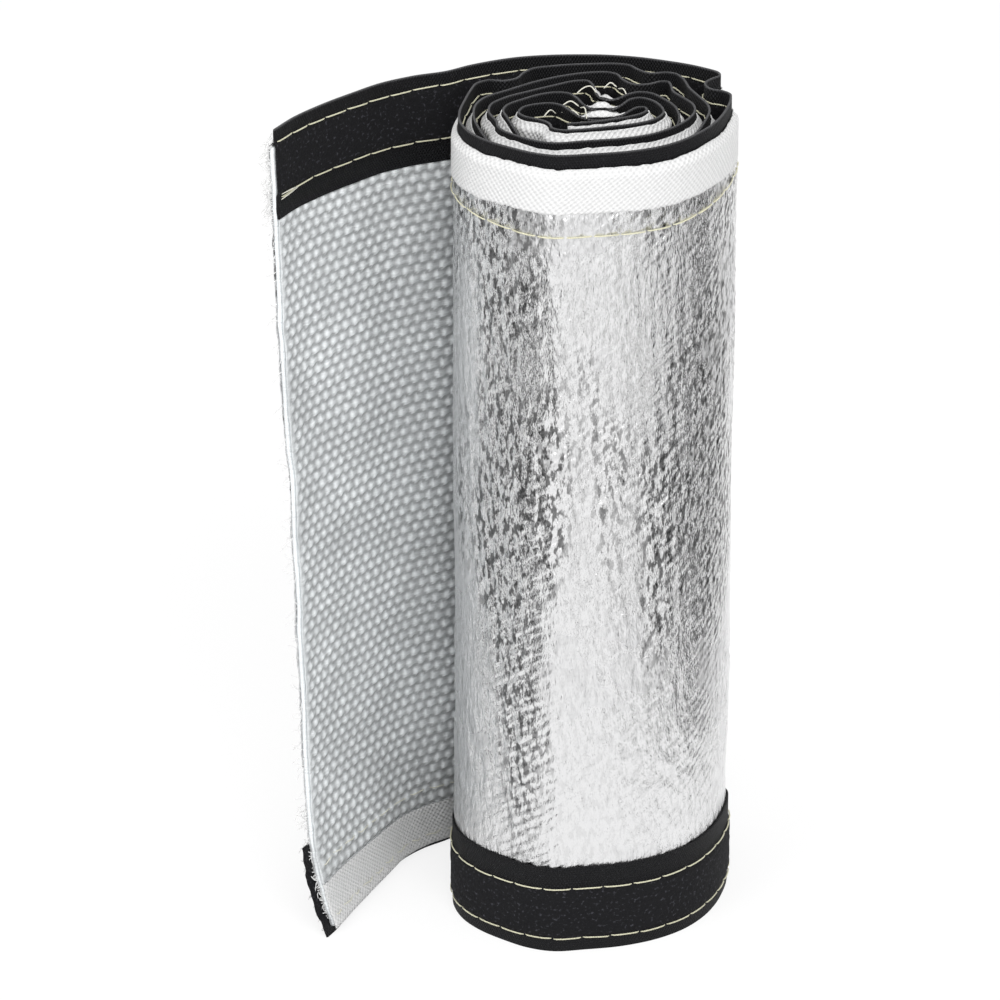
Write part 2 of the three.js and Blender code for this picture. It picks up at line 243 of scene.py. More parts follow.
class Strip:
    """The flat strip, bent round its route. Everything inside is in millimetres."""

    STEPS = 24
    SWING_RIGHT = 11.3
    SWING_FRONT = 9.2
    BEND_LENGTH = 3.8
    BEND_FLAT = 1.3
    BEND_ANGLE = math.radians(92)
    BEND_PARTS = 16
    DROP_TO_BACK = 2.2
    END_RIGHT = 0.45
    END_BACK = 0.89

    def __init__(self):
        self.width = settings().strip_width / MM
        self.line = curve_points(ROUTE, self.STEPS)
        steps = np.linalg.norm(np.diff(self.line, axis=0), axis=1)
        self.lengths = np.concatenate([[0], np.cumsum(steps)])
        self.length = self.lengths[-1]
        self.flap_end = self.lengths[len(FREE_FLAP) * self.STEPS]
        self.first_turn_end = self.lengths[(len(FREE_FLAP) + len(FIRST_TURN) + 3) * self.STEPS]

    def nearest(self, place):
        """How far along the strip the route passes closest to a place."""
        gaps = np.linalg.norm(self.line - np.array(place), axis=1)
        return self.lengths[int(np.argmin(gaps))]

    def middle(self, along, height):
        x = np.interp(along, self.lengths, self.line[:, 0])
        y = np.interp(along, self.lengths, self.line[:, 1])
        past = np.minimum(along, 0)
        x = x + past * self.END_RIGHT
        y = y + past * self.END_BACK
        share = np.interp(1 - height / self.width, SWING_SHARES, SWING_AMOUNTS)
        swing = (1 - ease(along, 0, self.flap_end)) * share
        return x + self.SWING_RIGHT * swing, y - self.SWING_FRONT * swing

    def outward(self, along, height):
        reach = 0.35
        x1, y1 = self.middle(along - reach, height)
        x2, y2 = self.middle(np.minimum(along + reach, self.length), height)
        size = np.hypot(x2 - x1, y2 - y1)
        return -(y2 - y1) / size, (x2 - x1) / size

    def lean(self, along):
        amount = np.zeros_like(along)
        for place, reach, share in LEANING_HEMS:
            gap = np.abs(along - self.nearest(place)) / reach
            amount += share * np.where(gap < 1, np.cos(gap * math.pi / 2), 0) ** 1.5
        return np.clip(amount, 0, 1)

    def drop(self, along):
        amount = np.zeros_like(along)
        for place, reach, depth in LOW_HEMS:
            gap = np.abs(along - self.nearest(place))
            amount += depth * (1 - ease(gap, reach * 0.6, reach))
        return amount + 0.25 * soft_noise(along / 14, along * 0, 3)

    def tilt(self, lean, depth):
        """How far a leaning hem is bent over, at a depth under its edge."""
        return lean * self.BEND_ANGLE * (1 - ease(depth, self.BEND_FLAT, self.BEND_LENGTH))

    def bend(self, lean, depth):
        """How far in and up a leaning hem goes, from the bend's start to a depth under its edge."""
        inward = np.zeros_like(lean)
        rise = np.zeros_like(lean)
        length = self.BEND_LENGTH - depth
        for part in range(self.BEND_PARTS):
            angle = self.tilt(lean, depth + (part + 0.5) / self.BEND_PARTS * length)
            inward += np.sin(angle) * length / self.BEND_PARTS
            rise += np.cos(angle) * length / self.BEND_PARTS
        return inward, rise

    def place(self, along, height, out):
        """Points of the strip, from how far along, how high and how far out of the middle."""
        coarse = soft_noise(height / 7, height * 0, 5)
        fine = soft_noise(height / 1.7, height * 0, 6)
        ragged = 0.55 * coarse + 0.2 * fine
        along = along + ragged * (1 - ease(along, 0, 7))
        x, y = self.middle(along, height)
        right, back = self.outward(along, height)
        lean = self.lean(along) * np.clip(back, 0, 1) ** 0.5
        below = np.clip(self.width - height, 0, self.BEND_LENGTH)
        inward, rise = self.bend(lean, below)
        inward_full, rise_full = self.bend(lean, 0)
        tilt = self.tilt(lean, below)
        fade = ease(height, self.width - 70, self.width - 18)
        shift = (inward_full - inward) * fade
        back_shift = self.DROP_TO_BACK * (self.BEND_LENGTH - rise_full) * fade
        z = np.minimum(height, self.width - self.BEND_LENGTH) + rise
        z = z - self.drop(along) * ease(height, self.width - 40, self.width - 8)
        flat = out * np.cos(tilt)
        x = x + right * flat + ROLL_AXIS[0]
        y = y + back * flat + shift + back_shift + ROLL_AXIS[1]
        z = z + out * np.sin(tilt)
        return np.stack([x, y, z], axis=-1) * MM


# Building pieces

def finish_piece(piece, material, stood_for):
    piece.data.materials.append(material)
    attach(piece, "root")
    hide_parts(stood_for)


def link(name, data):
    piece = bpy.data.objects.new(name, data)
    bpy.context.scene.collection.objects.link(piece)
    return piece


def grid_mesh(name, columns, rows, size, reversed_faces=False):
    bm = bmesh.new()
    bmesh.ops.create_grid(bm, x_segments=columns, y_segments=rows, size=size)
    if reversed_faces:
        bmesh.ops.reverse_faces(bm, faces=bm.faces)
    mesh = bpy.data.meshes.new(name)
    bm.to_mesh(mesh)
    bm.free()
    return mesh


def strip_grid(name, strip, alongs, heights, surface, thickness, side, level=None):
    """A grid bent round the strip, whose shown face is given and whose thickness lies behind it.

    surface(along, height) gives how far out the shown face lies, and may return a mask as well.
    side is 1 where the shown face looks out of the roll and -1 where it looks in.
    level(strip, along, height) may raise or lower the grid's heights along the strip.
    """
    mesh = grid_mesh(name, len(alongs) - 1, len(heights) - 1, 0.5, side > 0)
    count = len(mesh.vertices)
    places = np.empty(count * 3, np.float32)
    mesh.vertices.foreach_get("co", places)
    places = places.reshape(-1, 3).astype(float)
    column = (places[:, 0] + 0.5) * (len(alongs) - 1)
    row = (places[:, 1] + 0.5) * (len(heights) - 1)
    along = np.interp(column, np.arange(len(alongs)), alongs)
    height = np.interp(row, np.arange(len(heights)), heights)
    if level is not None:
        height = level(strip, along, height)
    result = surface(along, height)
    out, mask = result if isinstance(result, tuple) else (result, None)
    shaped = strip.place(along, height, out)
    mesh.vertices.foreach_set("co", shaped.astype(np.float32).ravel())
    # The mask marks the gaps between the yarns, which the cloth's colour darkens as painted shade.
    if mask is not None:
        layer = mesh.attributes.new("hollow_shade", "FLOAT", "POINT")
        layer.data.foreach_set("value", mask.astype(np.float32))
    corners = np.empty(len(mesh.loops), np.int32)
    mesh.loops.foreach_get("vertex_index", corners)
    flat = np.stack([along[corners], height[corners]], axis=-1) * MM
    layer = mesh.uv_layers.new(name="Strip")
    layer.data.foreach_set("uv", flat.astype(np.float32).ravel())
    mesh.polygons.foreach_set("use_smooth", np.ones(len(mesh.polygons), bool))
    mesh.update()
    piece = link(name, mesh)
    wall = piece.modifiers.new("Wall", "SOLIDIFY")
    wall.thickness = thickness * MM
    wall.offset = -1
    return piece


def even(start, end, step):
    count = max(int(round((end - start) / step)), 1)
    return np.linspace(start, end, count + 1)


def hem_heights(bottom, top, step):
    """Even heights up to near the top edge, and close ones where a hem may bend."""
    fine = 0.4
    if top <= BENDS_FROM:
        return even(bottom, top, step)
    return np.concatenate([even(bottom, BENDS_FROM, step)[:-1], even(BENDS_FROM, top, fine)])


def layer_heights(bottom, top, step):
    """Heights of the cloth or foil, which end under the top ribbon."""
    return np.concatenate([even(bottom, SQUEEZED_FROM, step)[:-1], hem_heights(SQUEEZED_FROM, top, 3)])


# Shapes of the layers' faces

def yarn_relief(along, height):
    """Staggered drop-shaped yarn bumps of the glass cloth, from 0 in the gaps to 1 on the crowns."""
    pitch = settings().yarn_pitch / MM
    pick = settings().pick_pitch / MM
    along = along + 0.35 * soft_noise(along / 9, height / 9, 21) + 0.12 * height
    height = height + 0.3 * soft_noise(along / 8, height / 11, 22)
    row = np.floor(height / pick)
    across = (height / pick - row) * 2 - 1
    run = along / pitch + 0.5 * (row % 2)
    column = np.floor(run)
    run = run - column
    nose = np.clip(run * 4.5, 0, 1) ** 0.7
    tail = np.clip((1 - run) * 1.15, 0, 1) ** 0.9
    half = 0.30 + 0.70 * nose * tail
    crown = np.clip(1 - (across / half) ** 2, 0, 1)
    size = 1 + 0.25 * soft_noise(column * 0.73, row * 0.61, 23)
    shingle = 0.45 + 0.55 * (1 - run)
    return crown ** 0.5 * (0.2 + 0.8 * nose * tail) * shingle * size * 1.25


def cloth_face(along, height):
    return -CLOTH_HALF + 0 * along


def plain_foil_face(along, height):
    return FOIL_OUTER + 0 * along


def ribbon_drop(strip, along):
    """How far the top ribbon lies below the tape's edge, which lessens towards the core."""
    drop = np.interp(along, [*RIBBON_PLACES, strip.length], RIBBON_DROPS)
    fine = soft_noise(along / 1.3, along * 0, 61)
    coarse = soft_noise(along / 7, along * 0, 62)
    return drop + 0.16 * fine + 0.2 * coarse


def under_ribbon(strip, along, height):
    """Cloth and foil end a little below the top edge of the white ribbon."""
    overlap = 1.9
    top = strip.width - ribbon_drop(strip, along) - overlap
    share = np.clip((height - SQUEEZED_FROM) / SQUEEZED_SPAN, 0, 1)
    return np.where(height > SQUEEZED_FROM, SQUEEZED_FROM + share * (top - SQUEEZED_FROM), height)


def weave_face(along, height):
    clearance = 0.16
    yarn_height = 0.62
    crown = yarn_relief(along, height)
    inside = ease(along, 0, 2.6)
    frayed = 0.55 + 0.2 * soft_noise(along * 3, height / 3, 31)
    crown = crown * inside + (1 - inside) * frayed
    return -(CLOTH_HALF + clearance + yarn_height * crown), 1 - np.clip(crown, 0, 1)


def foil_face(along, height):
    """The aluminium face: printed through by the weave, crinkled and gently dented."""
    weave = yarn_relief(along, height)
    slant = along * 0.8 + height * 0.6
    other = along * 0.75 - height * 0.66
    fold = np.abs(soft_noise(slant / 2.4, (height - along) / 9, 41))
    cross = np.abs(soft_noise(other / 2.2, (height + along) / 10, 42))
    mix = ease(soft_noise(along / 26, height / 60, 43), -0.3, 0.3)
    crinkle = 1 - (fold * mix + cross * (1 - mix))
    smooth = ease(soft_noise(along / 17, height / 42, 44), -0.35, 0.45)
    dent = soft_noise(along / 13, height / 26, 45)
    print_through = 0.12 * weave * (1 - 0.5 * smooth)
    crinkles = 0.36 * (crinkle - 0.5) * (1 - 0.6 * smooth)
    relief = print_through + crinkles + 0.3 * dent
    free = ease(height, 19.5, 22) * (1 - ease(height, 168.5, 171))
    return FOIL_OUTER + np.clip(relief, -0.2, 0.6) * free


def pile_rise(along, height, limits, seed):
    """How high a tape's pile stands above its ground, in millimetres."""
    low, high = limits
    area = ease(height, low - 0.3, low + 0.5) * (1 - ease(height, high - 0.5, high + 0.3))
    tufts = 0.8 + 0.25 * soft_noise(along / 1.1, height / 0.9, seed)
    return settings().tape_pile / MM * area * tufts * 0.9


def loop_tape_face(along, height):
    return INNER_TRIM - settings().tape_ground / MM - pile_rise(along, height, LOOP_PILE, 51)


def hook_tape_face(along, height):
    return OUTER_TRIM + settings().tape_ground / MM + pile_rise(along, height, HOOK_PILE, 52)


# Nodes of materials

def node(tree, kind, inputs=None, **choices):
    made = tree.nodes.new(kind)
    for key, value in choices.items():
        setattr(made, key, value)
    for key, value in (inputs or {}).items():
        socket = made.inputs[key]
        if isinstance(value, bpy.types.NodeSocket):
            tree.links.new(value, socket)
        else:
            socket.default_value = value
    return made


def maths(tree, operation, *values):
    return node(tree, "ShaderNodeMath", dict(enumerate(values)), operation=operation).outputs[0]


def remap(tree, value, low, high, start=0.0, end=1.0, smooth=False):
    """A value that runs from start to end while the given one runs from low to high."""
    kind = "SMOOTHSTEP" if smooth else "LINEAR"
    sockets = {"Value": value, "From Min": low, "From Max": high, "To Min": start, "To Max": end}
    return node(tree, "ShaderNodeMapRange", sockets, interpolation_type=kind).outputs["Result"]


def noise_value(tree, vector, scale, detail=2.0, roughness=0.5):
    sockets = {"Vector": vector, "Scale": scale, "Detail": detail, "Roughness": roughness}
    return node(tree, "ShaderNodeTexNoise", sockets).outputs["Fac"]


def blend_colours(tree, share, first, second, blend_type="MIX"):
    made = node(tree, "ShaderNodeMix", data_type="RGBA", blend_type=blend_type)
    for index, value in ((0, share), (6, first), (7, second)):
        if isinstance(value, bpy.types.NodeSocket):
            tree.links.new(value, made.inputs[index])
        elif index == 0:
            made.inputs[index].default_value = value
        else:
            made.inputs[index].default_value = (*value[:3], 1)
    return made.outputs[2]


def new_group(name, sockets_in, sockets_out):
    group = bpy.data.node_groups.new(name, "ShaderNodeTree")
    for socket, kind, value in sockets_in:
        made = group.interface.new_socket(socket, in_out="INPUT", socket_type=kind)
        if value is not None:
            made.default_value = value
    for socket, kind in sockets_out:
        group.interface.new_socket(socket, in_out="OUTPUT", socket_type=kind)
    return group, group.nodes.new("NodeGroupInput"), group.nodes.new("NodeGroupOutput")


def plain_weave_group():
    """Crossing threads that pass over and under each other: height from 0 to 1."""
    name = "plain_weave"
    if name in bpy.data.node_groups:
        return bpy.data.node_groups[name]
    group, entry, exit_ = new_group(
        name,
        [("Vector", "NodeSocketVector", None), ("Along", "NodeSocketFloat", 1000.0),
         ("Up", "NodeSocketFloat", 1000.0), ("Slant", "NodeSocketFloat", 0.0),
         ("Wander", "NodeSocketFloat", 0.0003)],
        [("Height", "NodeSocketFloat")])
    noise = node(group, "ShaderNodeTexNoise",
                 {"Vector": entry.outputs["Vector"], "Scale": 140.0, "Detail": 1.0})
    centred = node(group, "ShaderNodeVectorMath", {0: noise.outputs["Color"], 1: (0.5, 0.5, 0.5)},
                   operation="SUBTRACT")
    scaled = node(group, "ShaderNodeVectorMath", {0: centred.outputs[0]}, operation="SCALE")
    group.links.new(entry.outputs["Wander"], scaled.inputs["Scale"])
    moved = node(group, "ShaderNodeVectorMath", {0: entry.outputs["Vector"], 1: scaled.outputs[0]},
                 operation="ADD")
    apart = node(group, "ShaderNodeSeparateXYZ", {0: moved.outputs[0]})
    lean = maths(group, "MULTIPLY", apart.outputs[1], entry.outputs["Slant"])
    along = maths(group, "ADD", apart.outputs[0], lean)
    first = maths(group, "SINE", maths(group, "MULTIPLY", along, entry.outputs["Along"]))
    second = maths(group, "SINE", maths(group, "MULTIPLY", apart.outputs[1], entry.outputs["Up"]))
    product = maths(group, "MULTIPLY", first, second)
    height = maths(group, "MULTIPLY_ADD", product, 0.5, 0.5)
    group.links.new(height, exit_.inputs["Height"])
    return group


def fibre_group():
    """Fine streaks that run one way over the surface, as fibres in a yarn do."""
    name = "fibre_streaks"
    if name in bpy.data.node_groups:
        return bpy.data.node_groups[name]
    group, entry, exit_ = new_group(
        name,
        [("Vector", "NodeSocketVector", None), ("Stretch", "NodeSocketVector", (1000, 6000, 1000)),
         ("Detail", "NodeSocketFloat", 3.0)],
        [("Value", "NodeSocketFloat")])
    stretched = node(group, "ShaderNodeVectorMath",
                     {0: entry.outputs["Vector"], 1: entry.outputs["Stretch"]}, operation="MULTIPLY")
    value = noise_value(group, stretched.outputs[0], 1.0, entry.outputs["Detail"])
    group.links.new(value, exit_.inputs["Value"])
    return group


def speck_group():
    """A mask of small scattered specks, such as lint."""
    name = "scattered_specks"
    if name in bpy.data.node_groups:
        return bpy.data.node_groups[name]
    group, entry, exit_ = new_group(
        name,
        [("Vector", "NodeSocketVector", None), ("Scale", "NodeSocketFloat", 900.0),
         ("Low", "NodeSocketFloat", 0.68), ("High", "NodeSocketFloat", 0.78)],
        [("Mask", "NodeSocketFloat")])
    value = noise_value(group, entry.outputs["Vector"], entry.outputs["Scale"])
    mask = remap(group, value, entry.outputs["Low"], entry.outputs["High"], smooth=True)
    group.links.new(mask, exit_.inputs["Mask"])
    return group


def use_group(tree, group, inputs):
    made = tree.nodes.new("ShaderNodeGroup")
    made.node_tree = group
    for key, value in inputs.items():
        if isinstance(value, bpy.types.NodeSocket):
            tree.links.new(value, made.inputs[key])
        else:
            made.inputs[key].default_value = value
    return made


def new_material(name):
    material = bpy.data.materials.new(name)
    material.use_nodes = True
    tree = material.node_tree
    tree.nodes.clear()
    shader = tree.nodes.new("ShaderNodeBsdfPrincipled")
    output = tree.nodes.new("ShaderNodeOutputMaterial")
    tree.links.new(shader.outputs[0], output.inputs["Surface"])
    return material, tree, shader


def strip_uv(tree):
    return node(tree, "ShaderNodeUVMap", uv_map="Strip").outputs["UV"]


def bump(tree, shader, height, strength, distance):
    made = node(tree, "ShaderNodeBump",
                {"Height": height, "Strength": strength, "Distance": distance})
    tree.links.new(made.outputs["Normal"], shader.inputs["Normal"])


def shaded(colour, amount):
    return [min(value * amount, 1) for value in colour]


def waves(spacing):
    """The weave group's factor for threads that lie a spacing apart."""
    return 2 * math.pi / spacing


def glass_cloth_material():
    material, tree, shader = new_material("glass_cloth")
    uv = strip_uv(tree)
    colour = settings().cloth_colour
    hollow_shade = node(tree, "ShaderNodeAttribute", attribute_name="hollow_shade").outputs["Fac"]
    streaks = use_group(tree, fibre_group(), {"Vector": uv, "Stretch": (420, 2700, 420)}).outputs[0]
    patch = noise_value(tree, uv, 45.0)
    # Painted shade: the gaps between the yarns are darkened towards half the cloth's colour.
    shade = maths(tree, "POWER", hollow_shade, 1.6)
    base = blend_colours(tree, shade, colour, shaded(colour, 0.46))
    light = remap(tree, streaks, 0.3, 0.7, 0.88, 1.12)
    grey = remap(tree, patch, 0.35, 0.65, 0.92, 1.05)
    both = maths(tree, "MULTIPLY", light, grey)
    tint = node(tree, "ShaderNodeCombineColor", {0: both, 1: both, 2: both}).outputs[0]
    tree.links.new(blend_colours(tree, 1.0, base, tint, "MULTIPLY"), shader.inputs["Base Color"])
    tree.links.new(remap(tree, streaks, 0.0, 1.0, 0.42, 0.68), shader.inputs["Roughness"])
    bump(tree, shader, streaks, 0.9, 0.0004)
    return material


def crease_noise(tree, uv, turn, scale):
    """Noise drawn out one way across the strip, as creases in foil are."""
    turned = node(tree, "ShaderNodeMapping",
                  {"Vector": uv, "Rotation": (0, 0, turn), "Scale": scale}).outputs[0]
    return noise_value(tree, turned, 1.0, 4.0, 0.62)


def worked_region(tree, uv, strip):
    """A value that is higher where the foil is more crinkled."""
    stretched = node(tree, "ShaderNodeMapping", {"Vector": uv, "Scale": (62, 16, 1)}).outputs[0]
    value = noise_value(tree, stretched, 1.0, 3.0)
    flat = node(tree, "ShaderNodeSeparateXYZ", {0: uv}).outputs
    for place in WORKED_PLACES:
        away = maths(tree, "SUBTRACT", flat[0], strip.nearest(place) * MM)
        gap = maths(tree, "ABSOLUTE", away)
        worked = remap(tree, gap, 0.013, 0.002, 0.0, 0.11, smooth=True)
        value = maths(tree, "ADD", value, worked)
    upper = remap(tree, flat[1], 0.03, 0.16, -0.17, 0.07)
    return maths(tree, "ADD", value, upper)


def foil_material(strip):
    material, tree, shader = new_material("aluminium_foil")
    uv = strip_uv(tree)
    colour = settings().foil_colour
    weave = use_group(tree, plain_weave_group(), {
        "Vector": uv, "Along": waves(0.0034), "Up": waves(0.0044),
        "Slant": 0.7, "Wander": 0.0022}).outputs[0]
    patch = noise_value(tree, uv, 38.0)
    share = remap(tree, patch, 0.42, 0.58, smooth=True)
    rising = crease_noise(tree, uv, 0.65, (560, 190, 1))
    falling = crease_noise(tree, uv, -0.55, (520, 180, 1))
    creases = node(tree, "ShaderNodeMix", {0: share, 2: rising, 3: falling}).outputs[0]
    region = worked_region(tree, uv, strip)
    printed = remap(tree, region, 0.38, 0.62, 0.10, 0.42)
    height = maths(tree, "MULTIPLY_ADD", weave, printed, creases)
    bump(tree, shader, height, 1.0, 0.00085)
    # Painted reflection: the foil is darkened along its creases, most where it is worked, as dark
    # surroundings mirrored in the crinkles.
    crease_reflection_dark = remap(tree, crease_noise(tree, uv, 0.5, (820, 330, 1)), 0.52, 0.42, smooth=True)
    crease_reflection_share = maths(tree, "MULTIPLY", crease_reflection_dark, remap(tree, region, 0.46, 0.60, 0.12))
    base = blend_colours(tree, crease_reflection_share, colour, shaded(colour, 0.22))
    tree.links.new(base, shader.inputs["Base Color"])
    tree.links.new(remap(tree, patch, 0.3, 0.7, 0.20, 0.30), shader.inputs["Roughness"])
    shader.inputs["Metallic"].default_value = 1.0
    return material


def pile_mask(tree, height, starts, full, lessens, ends):
    """1 between the sewn rows of one tape and 0 outside them."""
    rising = remap(tree, height, starts, full)
    falling = remap(tree, height, ends, lessens)
    return maths(tree, "MULTIPLY", rising, falling)


def black_tape_material():
    material, tree, shader = new_material("black_tape")
    uv = strip_uv(tree)
    colour = settings().tape_colour
    height = node(tree, "ShaderNodeSeparateXYZ", {0: uv}).outputs[1]
    loops = pile_mask(tree, height, *LOOP_PILE_FADE)
    hooks = pile_mask(tree, height, *HOOK_PILE_FADE)
    pile = maths(tree, "MAXIMUM", loops, hooks)
    tufts = noise_value(tree, uv, 1500.0, 3.0, 0.7)
    ribs = use_group(tree, plain_weave_group(), {
        "Vector": uv, "Along": waves(0.0007), "Up": waves(0.0011)}).outputs[0]
    surface = node(tree, "ShaderNodeMix", {0: pile, 2: ribs, 3: tufts}).outputs[0]
    bump(tree, shader, surface, 1.0, 0.0005)
    lint = use_group(tree, speck_group(), {
        "Vector": uv, "Scale": 1300.0, "Low": 0.57, "High": 0.74}).outputs[0]
    lint = maths(tree, "MULTIPLY", lint, maths(tree, "MULTIPLY_ADD", pile, 0.75, 0.25))
    base = blend_colours(tree, lint, colour, shaded(colour, 7))
    # Painted highlight: a thin grey line along the tape's top edge, where the edge catches the light.
    edge_highlight = remap(tree, height, 0.18265, 0.18295, 0.0, 0.8)
    base = blend_colours(tree, edge_highlight, base, [0.11, 0.11, 0.115])
    tree.links.new(base, shader.inputs["Base Color"])
    tree.links.new(maths(tree, "MULTIPLY_ADD", pile, 0.25, 0.65), shader.inputs["Roughness"])
    shader.inputs["Specular IOR Level"].default_value = 0.25
    return material


def white_ribbon_material():
    material, tree, shader = new_material("white_ribbon")
    uv = strip_uv(tree)
    colour = settings().ribbon_colour
    weave = use_group(tree, plain_weave_group(), {
        "Vector": uv, "Along": waves(0.0013), "Up": waves(0.0012),
        "Slant": 0.25, "Wander": 0.0003}).outputs[0]
    streaks = use_group(tree, fibre_group(), {"Vector": uv, "Stretch": (900, 5000, 900)}).outputs[0]
    height = maths(tree, "MULTIPLY_ADD", streaks, 0.3, weave)
    bump(tree, shader, height, 1.0, 0.00022)
    # Painted shade and highlight: the weave's valleys are darker and its raised threads lighter than
    # the ribbon's colour.
    crowns = maths(tree, "POWER", weave, 0.8)
    base = blend_colours(tree, crowns, shaded(colour, 0.83), shaded(colour, 1.05))
    tree.links.new(base, shader.inputs["Base Color"])
    tree.links.new(maths(tree, "MULTIPLY_ADD", streaks, 0.2, 0.42), shader.inputs["Roughness"])
    return material


def thread_material(name="sewing_thread", paler=0.0):
    material, tree, shader = new_material(name)
    colour = [value + (0.9 - value) * paler for value in settings().thread_colour]
    place = node(tree, "ShaderNodeTexCoord").outputs["Object"]
    streaks = use_group(tree, fibre_group(), {
        "Vector": place, "Stretch": (3000, 3000, 3000)}).outputs[0]
    base = blend_colours(tree, streaks, shaded(colour, 0.7), shaded(colour, 1.25))
    tree.links.new(base, shader.inputs["Base Color"])
    tree.links.new(maths(tree, "MULTIPLY_ADD", streaks, 0.2, 0.4), shader.inputs["Roughness"])
    bump(tree, shader, streaks, 0.4, 0.0001)
    return material


# Pieces

class SLEEVE_OT_cloth(bpy.types.Operator):
    """Wind the glass cloth and the open weave that shows on the loose flap"""

    bl_idname = "sleeve.cloth"
    bl_label = "Glass cloth"

    def execute(self, context):
        strip = Strip()
        values = settings()
        bottom = values.tape_overhang / MM
        top = (values.strip_width - values.tape_overhang) / MM
        thickness = values.cloth_thickness / MM
        sheet = strip_grid("glass_cloth_strip", strip, even(0, strip.length, 1.1),
                           layer_heights(bottom, top, 4), cloth_face, thickness, -1, under_ribbon)
        material = glass_cloth_material()
        finish_piece(sheet, material, "glass_cloth")
        past_flap = 16
        weave = strip_grid("flap_weave", strip, even(0, strip.flap_end + past_flap, 0.5),
                           even(*FLAP_WEAVE, 0.5), weave_face, 0.12, -1)
        finish_piece(weave, material, "glass_cloth")
        return {"FINISHED"}


class SLEEVE_OT_foil(bpy.types.Operator):
    """Wind the crinkled aluminium face: the shown outer turn and the hidden inner turns"""

    bl_idname = "sleeve.foil"
    bl_label = "Aluminium face"

    def execute(self, context):
        strip = Strip()
        values = settings()
        bottom = values.tape_overhang / MM
        top = (values.strip_width - values.tape_overhang) / MM
        thickness = values.foil_thickness / MM
        shown = strip.first_turn_end
        material = foil_material(strip)
        outer = strip_grid("foil_outer_turn", strip, even(0, shown, 1.05), even(bottom, top, 1.0),
                           foil_face, thickness, 1, under_ribbon)
        inner = strip_grid("foil_inner_turns", strip, even(shown, strip.length, 1.0),
                           layer_heights(bottom, top, 12), plain_foil_face, thickness, 1,
                           under_ribbon)
        for piece, length in ((outer, shown), (inner, strip.length - shown)):
            finish_piece(piece, material, "foil_face")
        return {"FINISHED"}


class SLEEVE_OT_tapes(bpy.types.Operator):
    """Wind the two black closing tapes with their raised pile"""

    bl_idname = "sleeve.tapes"
    bl_label = "Closing tapes"

    def execute(self, context):
        strip = Strip()
        values = settings()
        width = values.tape_width / MM
        top = values.strip_width / MM
        ground = values.tape_ground / MM
        material = black_tape_material()
        loop = strip_grid("loop_tape_strip", strip, even(0, strip.length, 0.95),
                          hem_heights(top - width, top, 0.55), loop_tape_face, ground, -1)
        end_past_cloth = 2.2
        hook = strip_grid("hook_tape_strip", strip, even(-end_past_cloth, strip.length, 0.95),
                          even(0, width, 0.55), hook_tape_face, ground, 1)
        finish_piece(loop, material, "loop_tape")
        finish_piece(hook, material, "hook_tape")
        return {"FINISHED"}


class SLEEVE_OT_ribbons(bpy.types.Operator):
    """Wind the two white edging ribbons"""

    bl_idname = "sleeve.ribbons"
    bl_label = "Edging ribbons"

    def execute(self, context):
        strip = Strip()
        values = settings()
        width = values.ribbon_width / MM
        thickness = values.ribbon_thickness / MM
        top = values.strip_width / MM
        material = white_ribbon_material()

        def top_face(along, height):
            edge = top - ribbon_drop(strip, along)
            tucked = 1.05 * ease(height, edge - 1.7, edge - 0.3)
            return OUTER_TRIM + thickness - tucked + 0.03 * soft_noise(along / 2, height / 2, 63)

        def bottom_face(along, height):
            return INNER_TRIM - thickness - 0.1 + 0.03 * soft_noise(along / 2, height / 2, 64)

        def top_level(strip, along, height):
            return top + height - ribbon_drop(strip, along)

        alongs = even(0, strip.length, 0.9)
        upper = strip_grid("top_ribbon_strip", strip, alongs, even(-width, 0, 0.45),
                           top_face, thickness, 1, top_level)
        lower = strip_grid("bottom_ribbon_strip", strip, alongs, even(1.5, 1.5 + width, 0.8),
                           bottom_face, thickness, -1)
        finish_piece(upper, material, "top_ribbon")
        finish_piece(lower, material, "bottom_ribbon")
        return {"FINISHED"}


def add_thread(data, points, thin_ends=0.6):
    """One thread on a curve, with slightly thinner ends."""
    spline = data.splines.new("POLY")
    spline.points.add(len(points) - 1)
    for index, (point, place) in enumerate(zip(spline.points, points)):
        point.co = (*place, 1)
        end = index == 0 or index == len(points) - 1
        point.radius = thin_ends if end else 1.0


def thread_curve(name, diameter):
    data = bpy.data.curves.new(name, "CURVE")
    data.dimensions = "3D"
    data.bevel_depth = diameter / 2
    data.bevel_resolution = 1
    data.use_fill_caps = True
    return data


